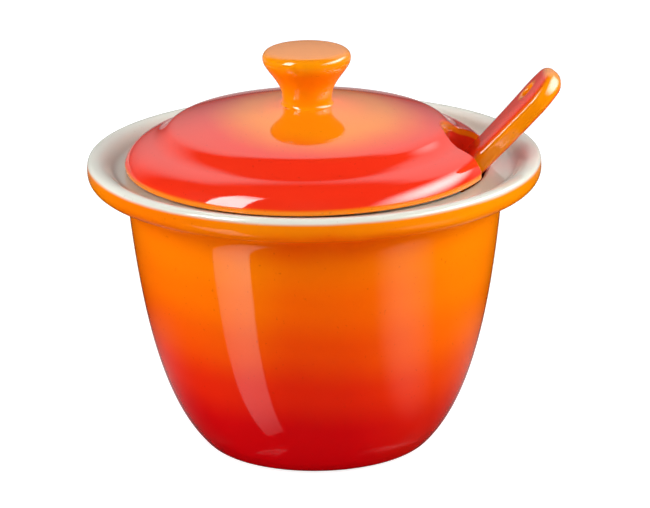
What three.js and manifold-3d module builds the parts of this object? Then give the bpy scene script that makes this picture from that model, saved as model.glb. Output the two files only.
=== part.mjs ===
import * as THREE from 'three';
import { mergeVertices } from 'three/addons/utils/BufferGeometryUtils.js';
import Module from 'manifold-3d';

// A lidded stoneware condiment pot with its spoon, in millimetres, +Z up.
// The origin is the centre of the flat base, and the spoon leans towards +X.

// Pot: a bowl-shaped body with a rolled rim round a sunken seat for the lid.
const POT_HEIGHT = 68.9;
const BASE_RADIUS = 25.6;
const BASE_EDGE = 1.3;
const BASE_FLARE = 0.96;
const BASE_PULL = 11.3;
const NECK_TAPER = 0.1;
const NECK_PULL = 24.6;
const NECK_WALL = 3.8;
const SIDE_WALL = 4.6;
const FLOOR = 5.5;
const FLOOR_CORNER = 5.0;
const MOUTH_RADIUS = 39.4;
const MOUTH_EDGE = 1.5;
const SEAT_DEPTH = 2.8;
const SEAT_STEP = 2.4;
const RIM_BAND = 7.3;
const RIM_LIP = 1.6;
const RIM_SHOULDER = 2.7;
const RIM_ROLL_WIDTH = 3.0;
const RIM_ROLL_HEIGHT = 3.2;
const RIM_COVE = 5.6;

// Lid: a domed disc with a beaded crown, a locating ring below and one scallop.
const LID_LAP = 1.5;
const LID_EDGE = 1.7;
const LID_RISE = 10.3;
const CROWN_RADIUS = 29.8;
const CROWN_ROUND = 3.2;
const CROWN_DROP = 1.7;
const BEAD_BAND = 3.6;
const BEAD_GROOVE = 0.35;
const DOME_RISE = 4.3;
const SHOULDER_RUN = 5.8;
const SHOULDER_DROP = 4.0;
const SHOULDER_SLOPE = 0.32;
const LID_THICKNESS = 5.0;
const LID_TURN = -5.2;
const RING_PLAY = 1.7;
const RING_DEPTH = 3.8;
const RING_WIDTH = 3.6;
const SEAT_CLEAR = 1.1;
const NOTCH_BACK = 2.5;
const NOTCH_SIDE = 4.0;
const NOTCH_CORNER = 2.0;
const NOTCH_WEB = 4.2;

// Knob: a waisted grip joined to the middle of the lid.
const KNOB_HEIGHT = 13.5;
const KNOB_RADIUS = 10.2;
const KNOB_HEAD = 2.2;
const KNOB_LIP = 1.9;
const KNOB_DOME = 0.3;
const KNOB_WAIST_RADIUS = 5.7;
const KNOB_WAIST_HEIGHT = 1.7;
const KNOB_FOOT_RADIUS = 7.2;

// Spoon: an oval bowl and a flat handle that ends in a round, pierced paddle.
const SPOON_LENGTH = 113.0;
const SPOON_TILT = 45.5;
const SPOON_ASIDE = -1.5;
const BOWL_LENGTH = 36.0;
const BOWL_WIDTH = 25.0;
const BOWL_DEPTH = 6.0;
const BOWL_WALL = 3.4;
const NECK_WIDTH = 9.3;
const PADDLE_WIDTH = 15.6;
const HANDLE_THICKNESS = 5.3;
const HANDLE_BEND_LENGTH = 28.0;
const HANDLE_BEND = 4.0;
const HANG_HOLE = 3.5;

// Pieces that rest on a curved face keep this gap to it.
const TOUCH_GAP = 0.3;

const FACET = 0.06;
const ROUND = 60;
const KNOB_ROUND = 36;
const SPOON_STATIONS = 46;
const SPOON_AROUND = 20;

const seat = POT_HEIGHT - SEAT_DEPTH;
const neckRadius = MOUTH_RADIUS + NECK_WALL;
const lidRadius = MOUTH_RADIUS + MOUTH_EDGE + LID_LAP;
const seatRadius = lidRadius + RING_PLAY + SEAT_CLEAR;
const rimRadius = seatRadius + RIM_BAND;
const rimCentre = POT_HEIGHT - RIM_SHOULDER;
const neckHeight = rimCentre - RIM_ROLL_HEIGHT - RIM_COVE;
const ringRadius = MOUTH_RADIUS - RING_PLAY;
const lidShift = RING_PLAY - TOUCH_GAP;

const wasm = await Module();
wasm.setup();

// A closed mesh with shared corners, no slivers and its faces turned out.
function closed(geometry) {
  geometry.deleteAttribute('normal');
  geometry.deleteAttribute('uv');
  const merged = mergeVertices(geometry, 1e-4);
  const p = merged.attributes.position;
  const index = merged.index.array;
  const kept = [];
  let volume = 0;
  for (let i = 0; i < index.length; i += 3) {
    const [a, b, c] = [index[i], index[i + 1], index[i + 2]];
    if (a === b || b === c || c === a) continue;
    kept.push(a, b, c);
    const va = new THREE.Vector3().fromBufferAttribute(p, a);
    const vb = new THREE.Vector3().fromBufferAttribute(p, b);
    const vc = new THREE.Vector3().fromBufferAttribute(p, c);
    volume += va.dot(vb.cross(vc));
  }
  if (volume < 0) kept.reverse();
  merged.setIndex(kept);
  return merged;
}

function toSolid(geometry) {
  const g = closed(geometry);
  return new wasm.Manifold(new wasm.Mesh({
    numProp: 3,
    vertProperties: new Float32Array(g.attributes.position.array),
    triVerts: new Uint32Array(g.index.array),
  }));
}

function toGeometry(solid) {
  const mesh = solid.getMesh();
  const g = new THREE.BufferGeometry();
  g.setAttribute('position', new THREE.BufferAttribute(new Float32Array(mesh.vertProperties), 3));
  g.setIndex(Array.from(mesh.triVerts));
  return g;
}

// Each stretch of a profile becomes as many chords as stay within FACET of it.
function profilePoints(path) {
  const points = [];
  for (const curve of path.curves) {
    let turn = 0;
    for (let i = 0; i < 8; i += 1) turn += curve.getTangent(i / 8).angleTo(curve.getTangent((i + 1) / 8));
    const chords = Math.ceil(Math.sqrt((curve.getLength() * turn) / (8 * FACET)));
    for (const q of curve.getPoints(Math.max(1, chords))) {
      const last = points[points.length - 1];
      if (!last || last.distanceTo(q) > 1e-3) points.push(q);
    }
  }
  return points;
}

function revolve(points, segments) {
  const g = new THREE.LatheGeometry(points, segments);
  g.rotateX(Math.PI / 2);
  return g;
}

// The body's outer curve, from the rounded edge of the base up to the neck.
const bodyCurve = new THREE.CubicBezierCurve(
  new THREE.Vector2(BASE_RADIUS + BASE_EDGE * BASE_FLARE, BASE_EDGE),
  new THREE.Vector2(BASE_RADIUS + BASE_PULL * BASE_FLARE, BASE_PULL),
  new THREE.Vector2(neckRadius - NECK_PULL * NECK_TAPER, neckHeight - NECK_PULL),
  new THREE.Vector2(neckRadius, neckHeight));

// The pot's outer side, from the base over the rim and the seat to the mouth.
function potOuter() {
  const path = new THREE.Path();
  path.moveTo(0, 0);
  path.lineTo(BASE_RADIUS - BASE_EDGE, 0);
  path.quadraticCurveTo(BASE_RADIUS, 0, BASE_RADIUS + BASE_EDGE * BASE_FLARE, BASE_EDGE);
  path.curves.push(bodyCurve);
  path.currentPoint.copy(bodyCurve.v3);
  path.quadraticCurveTo(
    neckRadius + RIM_COVE * NECK_TAPER, neckHeight + RIM_COVE,
    rimRadius - RIM_ROLL_WIDTH, rimCentre - RIM_ROLL_HEIGHT);
  path.absellipse(
    rimRadius - RIM_ROLL_WIDTH, rimCentre, RIM_ROLL_WIDTH, RIM_ROLL_HEIGHT,
    -Math.PI / 2, 0, false, 0);
  path.bezierCurveTo(
    rimRadius, POT_HEIGHT - RIM_SHOULDER * 0.2,
    rimRadius - RIM_LIP * 0.1, POT_HEIGHT,
    rimRadius - RIM_LIP, POT_HEIGHT);
  path.bezierCurveTo(
    seatRadius + SEAT_STEP, POT_HEIGHT - SEAT_DEPTH * 0.05,
    seatRadius + SEAT_STEP, seat,
    seatRadius, seat);
  path.lineTo(MOUTH_RADIUS + MOUTH_EDGE, seat);
  path.absarc(
    MOUTH_RADIUS + MOUTH_EDGE, seat - MOUTH_EDGE, MOUTH_EDGE,
    Math.PI / 2, Math.PI, false);
  return profilePoints(path);
}

// The inside keeps a wall's thickness from the body curve, from the mouth down
// to where it rounds into the floor.
function potInner() {
  const face = (t) => {
    const wall = THREE.MathUtils.lerp(SIDE_WALL, NECK_WALL, t);
    const along = bodyCurve.getTangent(t);
    return bodyCurve.getPoint(t).add(new THREE.Vector2(-along.y, along.x).multiplyScalar(wall));
  };
  let low = 0;
  let high = 1;
  while (high - low > 1e-4) {
    const middle = (low + high) / 2;
    if (face(middle).y < FLOOR + FLOOR_CORNER) low = middle;
    else high = middle;
  }
  const points = [new THREE.Vector2(MOUTH_RADIUS, seat - MOUTH_EDGE)];
  for (let i = 0; i <= 8; i += 1) points.push(face(THREE.MathUtils.lerp(1, high, i / 8)));
  const start = points[points.length - 1];
  const slope = bodyCurve.getTangent(high);
  const corner = start.clone().addScaledVector(slope, -(start.y - FLOOR) / slope.y);
  const end = new THREE.Vector2(corner.x - corner.distanceTo(start), FLOOR);
  points.push(...new THREE.QuadraticBezierCurve(start, corner, end).getPoints(4).slice(1));
  points.push(new THREE.Vector2(0, FLOOR));
  return points;
}

const outer = potOuter();
const inner = potInner();
const potGeometry = closed(revolve([...outer, ...inner.slice(1)], ROUND));

// Distance from a point to the pot's inside face, measured in the half-plane
// through the axis, negative within the clay.
const crest = outer.findIndex((q) => q.y > POT_HEIGHT - 1e-6);
const cavity = [...outer.slice(crest), ...inner.slice(1)];
function clearance(x, y, z) {
  const r = Math.hypot(x, y);
  let best = Infinity;
  let sign = 1;
  for (let i = 1; i < cavity.length; i += 1) {
    const a = cavity[i - 1];
    const b = cavity[i];
    const ux = b.x - a.x;
    const uz = b.y - a.y;
    const length2 = ux * ux + uz * uz;
    const t = Math.min(1, Math.max(0, ((r - a.x) * ux + (z - a.y) * uz) / length2));
    const dx = r - a.x - t * ux;
    const dz = z - a.y - t * uz;
    const d = Math.hypot(dx, dz);
    if (d < best - 1e-9) {
      best = d;
      sign = ux * dz - uz * dx <= 0 ? 1 : -1;
    }
  }
  return sign * best;
}

// The spoon lies along +X with its hollow up: x runs from the bowl's end.
const ease = (x, lo, hi) => THREE.MathUtils.smoothstep(x, lo, hi);
const bowlSpan = (x) => Math.max(0, 1 - ((2 * x) / BOWL_LENGTH - 1) ** 2);
const neckStart = BOWL_LENGTH * 0.5;
const paddleCentre = SPOON_LENGTH - PADDLE_WIDTH / 2;

function spoonHalfWidth(x) {
  const bowl = (BOWL_WIDTH / 2) * Math.sqrt(bowlSpan(x));
  const grow = THREE.MathUtils.clamp((x - BOWL_LENGTH) / (paddleCentre - BOWL_LENGTH), 0, 1) ** 2.4;
  const handle = THREE.MathUtils.lerp(NECK_WIDTH, PADDLE_WIDTH, grow) / 2;
  const reach = SPOON_LENGTH - x;
  const end = PADDLE_WIDTH / 2;
  const round = reach < end ? Math.sqrt(Math.max(0, end * end - (end - reach) ** 2)) : Infinity;
  const neck = handle * ease(x, neckStart * 0.6, BOWL_LENGTH * 1.05);
  return Math.min((bowl ** 5 + neck ** 5) ** 0.2, round);
}

function spoonThickness(x) {
  const full = THREE.MathUtils.lerp(BOWL_WALL, HANDLE_THICKNESS, ease(x, neckStart, BOWL_LENGTH * 1.3));
  const reach = Math.min(x, SPOON_LENGTH - x);
  const tip = full / 2;
  return reach < tip ? full * Math.sqrt(Math.max(0, 1 - (1 - reach / tip) ** 2)) : full;
}

function spoonRise(x) {
  const run = Math.max(0, x - (SPOON_LENGTH - HANDLE_BEND_LENGTH));
  return (run * run * Math.tan(THREE.MathUtils.degToRad(HANDLE_BEND))) / (2 * HANDLE_BEND_LENGTH);
}

// Cross-sections are soft-edged slabs, dished across the bowl, lofted in a row.
function spoonGeometry(stations, around) {
  const position = [0, 0, 0];
  for (let i = 1; i < stations; i += 1) {
    const x = (SPOON_LENGTH * (1 - Math.cos((Math.PI * i) / stations))) / 2;
    const w = spoonHalfWidth(x);
    const h = spoonThickness(x) / 2;
    const dish = BOWL_DEPTH * bowlSpan(x) ** 1.25;
    for (let k = 0; k < around; k += 1) {
      const a = (2 * Math.PI * (k + 0.5)) / around;
      const v = Math.sign(Math.cos(a)) * Math.abs(Math.cos(a)) ** 0.55;
      const n = Math.sign(Math.sin(a)) * Math.abs(Math.sin(a)) ** 0.55;
      position.push(x, w * v, spoonRise(x) + h * n - dish * (1 - v * v));
    }
  }
  position.push(SPOON_LENGTH, 0, spoonRise(SPOON_LENGTH));
  const last = position.length / 3 - 1;
  const at = (i, k) => 1 + (i - 1) * around + (k % around);
  const index = [];
  for (let k = 0; k < around; k += 1) {
    index.push(0, at(1, k + 1), at(1, k));
    index.push(last, at(stations - 1, k), at(stations - 1, k + 1));
    for (let i = 1; i < stations - 1; i += 1) {
      index.push(at(i, k), at(i, k + 1), at(i + 1, k));
      index.push(at(i, k + 1), at(i + 1, k + 1), at(i + 1, k));
    }
  }
  const g = new THREE.BufferGeometry();
  g.setAttribute('position', new THREE.BufferAttribute(new Float32Array(position), 3));
  g.setIndex(index);
  return g;
}

const spoonBlank = spoonGeometry(SPOON_STATIONS, SPOON_AROUND);
const hole = new THREE.CylinderGeometry(HANG_HOLE / 2, HANG_HOLE / 2, HANDLE_THICKNESS * 3, 20);
const holeSlope = Math.tan(THREE.MathUtils.degToRad(HANDLE_BEND))
  * ((HANDLE_BEND_LENGTH - PADDLE_WIDTH / 2) / HANDLE_BEND_LENGTH);
hole.rotateX(Math.PI / 2);
hole.rotateY(-Math.atan(holeSlope));
hole.translate(paddleCentre, 0, spoonRise(paddleCentre));
const spoonSolid = toGeometry(toSolid(spoonBlank.clone()).subtract(toSolid(hole)));

// The spoon is lowered at its tilt until the bowl lies on the floor, as far
// along as the mouth lets the handle lean.
const tilt = THREE.MathUtils.degToRad(SPOON_TILT);
const turned = spoonGeometry(SPOON_STATIONS * 4, SPOON_AROUND).rotateY(-tilt).attributes.position;
function lowest(shift) {
  let lo = -SPOON_LENGTH;
  let hi = POT_HEIGHT * 2;
  while (hi - lo > 1e-3) {
    const lift = (lo + hi) / 2;
    let free = true;
    for (let i = 0; i < turned.count && free; i += 1) {
      const z = turned.getZ(i) + lift;
      if (z > seat) continue;
      if (clearance(turned.getX(i) + shift, turned.getY(i) + SPOON_ASIDE, z) < TOUCH_GAP) free = false;
    }
    if (free) hi = lift;
    else lo = lift;
  }
  return hi;
}
let left = -MOUTH_RADIUS;
let right = 0;
while (right - left > TOUCH_GAP / 30) {
  const third = (right - left) / 3;
  if (lowest(left + third) < lowest(right - third) - TOUCH_GAP / 30) right -= third;
  else left += third;
}
const spoonX = left;
const spoonZ = lowest(spoonX);

// Where the handle's upper face crosses a level decides how deep the notch is.
const handleTopX = (z) => {
  const x0 = spoonX - (HANDLE_THICKNESS / 2) * Math.sin(tilt);
  const z0 = spoonZ + (HANDLE_THICKNESS / 2) * Math.cos(tilt);
  return x0 + (z - z0) / Math.tan(tilt);
};
const notchInner = handleTopX(seat) - NOTCH_BACK + lidShift;
const handleAtNotch = (seat - spoonZ) / Math.sin(tilt);
const notchRadius = spoonHalfWidth(handleAtNotch) + NOTCH_SIDE;
const notchCentre = notchInner + notchRadius;
const hollowRadius = notchInner - NOTCH_WEB;

// The lid's section: dome, bead, cove, shoulder, edge, seat, locating ring, and
// below the dome a hollow that keeps the lid's thickness.
const crown = seat + LID_RISE;
const domeTop = crown + DOME_RISE;

function lidProfile() {
  const groove = crown - BEAD_GROOVE;
  const domeRadius = CROWN_RADIUS - BEAD_BAND;
  const domeRun = domeRadius - KNOB_FOOT_RADIUS;
  const edgeTop = seat + LID_EDGE;
  const flank = [CROWN_RADIUS + CROWN_ROUND, crown - CROWN_DROP];
  const shoulder = [lidRadius - SHOULDER_RUN, crown - SHOULDER_DROP];
  const ceiling = groove - LID_THICKNESS;
  const fillet = Math.min(LID_THICKNESS * 0.7, ceiling - seat);
  const path = new THREE.Path();
  path.moveTo(0, domeTop);
  path.lineTo(KNOB_FOOT_RADIUS, domeTop);
  path.bezierCurveTo(
    KNOB_FOOT_RADIUS + domeRun * 0.33, domeTop - DOME_RISE * 0.2,
    domeRadius - domeRun * 0.25, crown + DOME_RISE * 0.3,
    domeRadius, groove + BEAD_GROOVE * 0.4);
  path.bezierCurveTo(
    domeRadius + BEAD_BAND * 0.3, groove - BEAD_GROOVE * 0.5,
    domeRadius + BEAD_BAND * 0.5, crown,
    CROWN_RADIUS, crown);
  path.bezierCurveTo(
    CROWN_RADIUS + CROWN_ROUND * 0.45, crown,
    flank[0] - CROWN_ROUND * 0.3, flank[1] + CROWN_DROP * 0.5,
    flank[0], flank[1]);
  path.bezierCurveTo(
    flank[0] + CROWN_ROUND * 0.3, flank[1] - CROWN_DROP * 0.5,
    shoulder[0] - SHOULDER_RUN * 0.25, shoulder[1] + SHOULDER_RUN * 0.25 * SHOULDER_SLOPE,
    shoulder[0], shoulder[1]);
  path.bezierCurveTo(
    shoulder[0] + SHOULDER_RUN * 0.45, shoulder[1] - SHOULDER_RUN * 0.45 * SHOULDER_SLOPE,
    lidRadius - SHOULDER_RUN * 0.15, THREE.MathUtils.lerp(edgeTop, shoulder[1], 0.7),
    lidRadius, edgeTop);
  path.lineTo(lidRadius, seat + LID_EDGE * 0.3);
  path.quadraticCurveTo(lidRadius, seat, lidRadius - LID_EDGE * 0.3, seat);
  path.lineTo(ringRadius, seat);
  path.lineTo(ringRadius, seat - RING_DEPTH);
  path.lineTo(ringRadius - RING_WIDTH, seat - RING_DEPTH);
  path.lineTo(ringRadius - RING_WIDTH, seat);
  path.lineTo(hollowRadius, seat);
  path.bezierCurveTo(
    hollowRadius, seat + fillet,
    hollowRadius - fillet * 0.4, ceiling,
    hollowRadius - fillet * 1.6, ceiling);
  const vault = hollowRadius - fillet * 1.6;
  path.bezierCurveTo(
    vault * 0.75, ceiling + DOME_RISE * 0.2,
    vault * 0.35, domeTop - LID_THICKNESS,
    0, domeTop - LID_THICKNESS);
  return profilePoints(path);
}

// The scallop in the lid's edge: a round bite whose corners are rounded into the
// lid's outer edge.
function notchShape() {
  const inward = lidRadius - NOTCH_CORNER;
  const away = notchRadius + NOTCH_CORNER;
  const x = (inward ** 2 - away ** 2 + notchCentre ** 2) / (2 * notchCentre);
  const y = Math.sqrt(inward ** 2 - x ** 2);
  const fromNotch = Math.atan2(y, x - notchCentre);
  const fromAxis = Math.atan2(y, x);
  const beyond = lidRadius + notchRadius;
  const shape = new THREE.Shape();
  shape.absarc(notchCentre, 0, notchRadius, -fromNotch, fromNotch, true);
  shape.absarc(x, y, NOTCH_CORNER, fromNotch - Math.PI, fromAxis, false);
  shape.lineTo(beyond, y + NOTCH_CORNER * Math.sin(fromAxis));
  shape.lineTo(beyond, -y - NOTCH_CORNER * Math.sin(fromAxis));
  shape.absarc(x, -y, NOTCH_CORNER, -fromAxis, Math.PI - fromNotch, false);
  return shape;
}

const notchCut = new THREE.ExtrudeGeometry(notchShape(), {
  depth: LID_RISE + RING_DEPTH * 2,
  bevelEnabled: false,
  curveSegments: 14,
});
notchCut.translate(0, 0, seat - RING_DEPTH * 1.5);
const gapStart = handleTopX(seat - RING_DEPTH) - NOTCH_BACK + lidShift;
const ringGap = new THREE.BoxGeometry(lidRadius - gapStart, notchRadius * 2, RING_DEPTH * 2);
ringGap.translate((lidRadius + gapStart) / 2, 0, seat - RING_DEPTH);
const lidGeometry = toGeometry(
  toSolid(revolve(lidProfile(), ROUND)).subtract(toSolid(notchCut)).subtract(toSolid(ringGap)));

// The knob stands on top of the dome, drawn in at the waist below a full head.
function knobProfile() {
  const head = KNOB_HEIGHT - KNOB_HEAD;
  const rise = head - KNOB_WAIST_HEIGHT;
  const lip = KNOB_RADIUS - KNOB_LIP;
  const lipTop = KNOB_HEIGHT - KNOB_DOME;
  const path = new THREE.Path();
  path.moveTo(0, 0);
  path.lineTo(KNOB_FOOT_RADIUS, 0);
  path.bezierCurveTo(
    THREE.MathUtils.lerp(KNOB_WAIST_RADIUS, KNOB_FOOT_RADIUS, 0.44), KNOB_WAIST_HEIGHT * 0.15,
    KNOB_WAIST_RADIUS, KNOB_WAIST_HEIGHT * 0.4,
    KNOB_WAIST_RADIUS, KNOB_WAIST_HEIGHT);
  path.bezierCurveTo(
    KNOB_WAIST_RADIUS, KNOB_WAIST_HEIGHT + rise * 0.47,
    KNOB_RADIUS, KNOB_WAIST_HEIGHT + rise * 0.73,
    KNOB_RADIUS, head);
  path.bezierCurveTo(
    KNOB_RADIUS, head + KNOB_HEAD * 0.5,
    lip + KNOB_LIP * 0.55, lipTop - KNOB_DOME * 0.3,
    lip, lipTop);
  path.bezierCurveTo(
    lip * 0.66, KNOB_HEIGHT - KNOB_DOME * 0.2,
    lip * 0.33, KNOB_HEIGHT,
    0, KNOB_HEIGHT);
  return profilePoints(path);
}

const knobGeometry = closed(revolve(knobProfile(), KNOB_ROUND));

function piece(name, geometry, color, roughness) {
  const mesh = new THREE.Mesh(geometry, new THREE.MeshStandardMaterial({ color, roughness, metalness: 0 }));
  mesh.name = name;
  return mesh;
}

const potMesh = piece('pot', potGeometry, 0xe8500a, 0.08);
const lidMesh = piece('lid', lidGeometry, 0xf03c1c, 0.08);
const knobMesh = piece('lid_knob', knobGeometry, 0xfb8b05, 0.08);
const spoonMesh = piece('spoon', spoonSolid, 0xf2641c, 0.08);

knobMesh.position.z = domeTop;
const lidGroup = new THREE.Group();
lidGroup.position.x = -lidShift;
lidGroup.rotation.z = THREE.MathUtils.degToRad(LID_TURN);
lidGroup.add(lidMesh, knobMesh);

const spoonGroup = new THREE.Group();
spoonGroup.rotation.y = -tilt;
spoonGroup.position.set(spoonX, SPOON_ASIDE, spoonZ);
spoonGroup.add(spoonMesh);

const condimentPot = new THREE.Group();
condimentPot.add(potMesh, lidGroup, spoonGroup);

export default condimentPot;
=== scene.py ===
import math

import bpy
import numpy as np
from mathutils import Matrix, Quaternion, Vector


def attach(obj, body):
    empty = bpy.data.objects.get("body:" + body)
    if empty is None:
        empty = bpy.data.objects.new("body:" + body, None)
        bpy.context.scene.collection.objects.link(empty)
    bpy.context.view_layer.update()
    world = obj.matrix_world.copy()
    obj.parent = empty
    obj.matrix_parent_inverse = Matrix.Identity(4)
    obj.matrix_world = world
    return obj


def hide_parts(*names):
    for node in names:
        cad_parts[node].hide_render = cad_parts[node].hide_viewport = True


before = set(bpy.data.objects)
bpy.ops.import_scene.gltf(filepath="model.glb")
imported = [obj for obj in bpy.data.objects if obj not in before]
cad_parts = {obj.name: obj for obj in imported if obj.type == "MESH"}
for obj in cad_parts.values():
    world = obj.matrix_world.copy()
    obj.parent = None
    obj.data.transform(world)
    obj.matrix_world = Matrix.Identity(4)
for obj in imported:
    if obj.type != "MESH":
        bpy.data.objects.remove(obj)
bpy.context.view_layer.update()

MM = 0.001


# Pot
# The pot is a stoneware bowl turned on the wheel, with a rolled rim and a ledge
# inside it for the lid. It is dipped in a cream glaze and sprayed outside with
# orange that deepens to dark red at the foot, then fired to a high gloss.
POT_STEPS = 224
MERGE_GAP = 0.002
BASE_FLAT, BASE_CORNER = 24.3, 25.6
WALL_CURVE = ((26.848, 1.3), (36.448, 11.3), (40.74, 32.8), (43.2, 57.4))
WALL_LOW, WALL_HIGH = 4.6, 3.8
WALL_STATIONS, WALL_EVERY = 161, 5
FLOOR_LEVEL, FLOOR_CORNER = 5.5, 5.0
FLARE_CORNER, RIM_UNDER = 43.76, 63.0
RIM_ROLL = (49.5, 66.2)
RIM_ROLL_SIZE = (3.0, 3.2)
RIM_RADIUS, RIM_TOP, RIM_CREST = 52.5, 68.9, 50.9
RIM_CURVE = ((RIM_RADIUS, RIM_ROLL[1]), (RIM_RADIUS, 68.36), (52.34, RIM_TOP), (RIM_CREST, RIM_TOP))
STEP_RADIUS, SEAT_RADIUS, SEAT_LEVEL = 47.6, 45.2, 66.1
STEP_CURVE = (
    (RIM_CREST, RIM_TOP), (STEP_RADIUS, 68.76), (STEP_RADIUS, SEAT_LEVEL), (SEAT_RADIUS, SEAT_LEVEL))
MOUTH_RADIUS, MOUTH_EDGE = 39.4, 1.5
THROAT = (39.42, 57.9)


def run(start, end, parts):
    """Points after start on a straight line to end."""
    share = np.linspace(0, 1, parts + 1)[1:, None]
    return list(np.array(start) * (1 - share) + np.array(end) * share)


def curve(t, start, pull, lean, end):
    """Points at the shares t of a curve that is pulled towards two points."""
    back = 1 - t
    return back ** 3 * start + 3 * back ** 2 * t * pull + 3 * back * t ** 2 * lean + t ** 3 * end


def bow(start, pull, lean, end, parts):
    """Points after start on a curve that is pulled towards two points."""
    t = np.linspace(0, 1, parts + 1)[1:, None]
    return list(curve(t, *(np.array(p, float) for p in (start, pull, lean, end))))


def ease(start, corner, end, parts):
    """Points after start on a curve that rounds off one corner."""
    start, corner, end = (np.array(p, float) for p in (start, corner, end))
    return bow(start, start + (corner - start) * 2 / 3, end + (corner - end) * 2 / 3, end, parts)


def swing(centre, size, first, last, parts):
    """Points after the first angle on a round or oval arc, in degrees."""
    turn = np.radians(np.linspace(first, last, parts + 1)[1:])
    return list(np.array(centre) + np.array(size) * np.stack([np.cos(turn), np.sin(turn)], 1))


def turn_on_wheel(name, outline, steps):
    """Draws half a section point by point and spins it about the upright axis."""
    points = [Vector((float(r), 0, float(z))) * MM for r, z in outline]
    bpy.ops.object.select_all(action="DESELECT")
    bpy.ops.mesh.primitive_plane_add(size=MM)
    clay = bpy.context.object
    clay.name = clay.data.name = name
    bpy.ops.object.mode_set(mode="EDIT")
    bpy.ops.mesh.select_mode(type="VERT")
    bpy.ops.mesh.merge(type="CENTER")
    bpy.ops.transform.translate(value=points[0])
    for before, after in zip(points, points[1:]):
        bpy.ops.mesh.extrude_vertices_move(TRANSFORM_OT_translate={"value": after - before})
    bpy.ops.mesh.select_all(action="SELECT")
    bpy.ops.mesh.spin(steps=steps, angle=2 * math.pi, center=(0, 0, 0), axis=(0, 0, 1))
    bpy.ops.mesh.select_all(action="SELECT")
    bpy.ops.mesh.remove_doubles(threshold=MERGE_GAP * MM)
    bpy.ops.mesh.normals_make_consistent(inside=False)
    bpy.ops.object.mode_set(mode="OBJECT")
    bpy.ops.object.shade_smooth()
    return clay


def corners(piece):
    """All of a mesh's points, in millimetres."""
    places = np.empty(len(piece.data.vertices) * 3)
    piece.data.vertices.foreach_get("co", places)
    return places.reshape(-1, 3) / MM


def push(piece, places):
    """Moves all of a mesh's points to new places, in millimetres."""
    piece.data.vertices.foreach_set("co", (np.asarray(places) * MM).ravel())
    piece.data.update()


def mark(piece, name, values):
    """Writes one number on each point of a mesh, for its glaze to read."""
    layer = piece.data.attributes.new(name, "FLOAT", "POINT")
    layer.data.foreach_set("value", np.asarray(values, np.float32))


def nearest_ring(piece, outline, batches=24):
    """Which point of the turned outline each point of the mesh came from."""
    places = corners(piece)
    flat = np.stack([np.hypot(places[:, 0], places[:, 1]), places[:, 2]], 1)
    rings = np.array(outline, float)
    found = np.empty(len(flat), int)
    for part in np.array_split(np.arange(len(flat)), batches):
        away = ((flat[part, None, :] - rings[None, :, :]) ** 2).sum(2)
        found[part] = away.argmin(1)
    return found


def along(outline):
    """Length of the outline up to each of its points."""
    steps = np.linalg.norm(np.diff(np.array(outline, float), axis=0), axis=1)
    return np.concatenate([[0], np.cumsum(steps)])


def inner_wall():
    """The inside of the wall, the outside set in by its thickness, then the rounded floor."""
    t = np.linspace(1, 0, WALL_STATIONS)[:, None]
    a, b, c, d = (np.array(p) for p in WALL_CURVE)
    way = 3 * (1 - t) ** 2 * (b - a) + 6 * (1 - t) * t * (c - b) + 3 * t ** 2 * (d - c)
    way /= np.linalg.norm(way, axis=1)[:, None]
    inward = np.stack([-way[:, 1], way[:, 0]], 1)
    inner = curve(t, a, b, c, d) + inward * (WALL_LOW + (WALL_HIGH - WALL_LOW) * t)
    last = int(np.argmax(inner[:, 1] < FLOOR_LEVEL + FLOOR_CORNER))
    inner = inner[:last]
    down = -way[last - 1]
    reach = (FLOOR_LEVEL - inner[-1][1]) / down[1]
    corner = inner[-1] + down * reach
    end = (corner[0] - reach, FLOOR_LEVEL)
    wall = list(inner[::WALL_EVERY]) + [inner[-1]]
    return wall + ease(inner[-1], corner, end, 12) + run(end, (0, FLOOR_LEVEL), 10)


mouth_turn = (MOUTH_RADIUS + MOUTH_EDGE, SEAT_LEVEL - MOUTH_EDGE)
pot_outline = [np.array((0.0, 0.0))]
pot_outline += run((0, 0), (BASE_FLAT, 0), 8)
pot_outline += ease((BASE_FLAT, 0), (BASE_CORNER, 0), WALL_CURVE[0], 6)
pot_outline += bow(*WALL_CURVE, 44)
pot_outline += ease(WALL_CURVE[3], (FLARE_CORNER, RIM_UNDER), (RIM_ROLL[0], RIM_UNDER), 20)
pot_outline += swing(RIM_ROLL, RIM_ROLL_SIZE, -90, 0, 14)
pot_outline += bow(*RIM_CURVE, 16)
pot_outline += bow(*STEP_CURVE, 24)
pot_outline += run((SEAT_RADIUS, SEAT_LEVEL), (mouth_turn[0], SEAT_LEVEL), 6)
pot_outline += swing(mouth_turn, (MOUTH_EDGE, MOUTH_EDGE), 90, 180, 8)
pot_outline += run((MOUTH_RADIUS, mouth_turn[1]), THROAT, 4)
pot_outline += inner_wall()

pot = turn_on_wheel("pot_body", pot_outline, POT_STEPS)
pot_ring = nearest_ring(pot, pot_outline)
pot_length = along(pot_outline)
# The orange stops on the outer turn of the rim; above it the cream glaze shows.
GLAZE_LINE = (52.25, 67.9)
line_ring = int(np.argmin([np.hypot(r - GLAZE_LINE[0], z - GLAZE_LINE[1]) for r, z in pot_outline]))
mark(pot, "below_line", (pot_length[line_ring] - pot_length)[pot_ring])


def fired(red, green, blue):
    """A glaze colour as it looks on screen, from 0 to 255, as light values."""
    def light(value):
        value /= 255
        return value / 12.92 if value <= 0.04045 else ((value + 0.055) / 1.055) ** 2.4
    return light(red), light(green), light(blue), 1


def join(tree, value, socket):
    """Wires a socket to another, or writes a plain value on it."""
    if isinstance(value, bpy.types.NodeSocket):
        tree.links.new(value, socket)
    else:
        socket.default_value = value


def axes_of(tree, place):
    """The X, Y and Z of a place, each by itself."""
    step = tree.nodes.new("ShaderNodeSeparateXYZ")
    tree.links.new(place, step.inputs[0])
    return step.outputs


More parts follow.
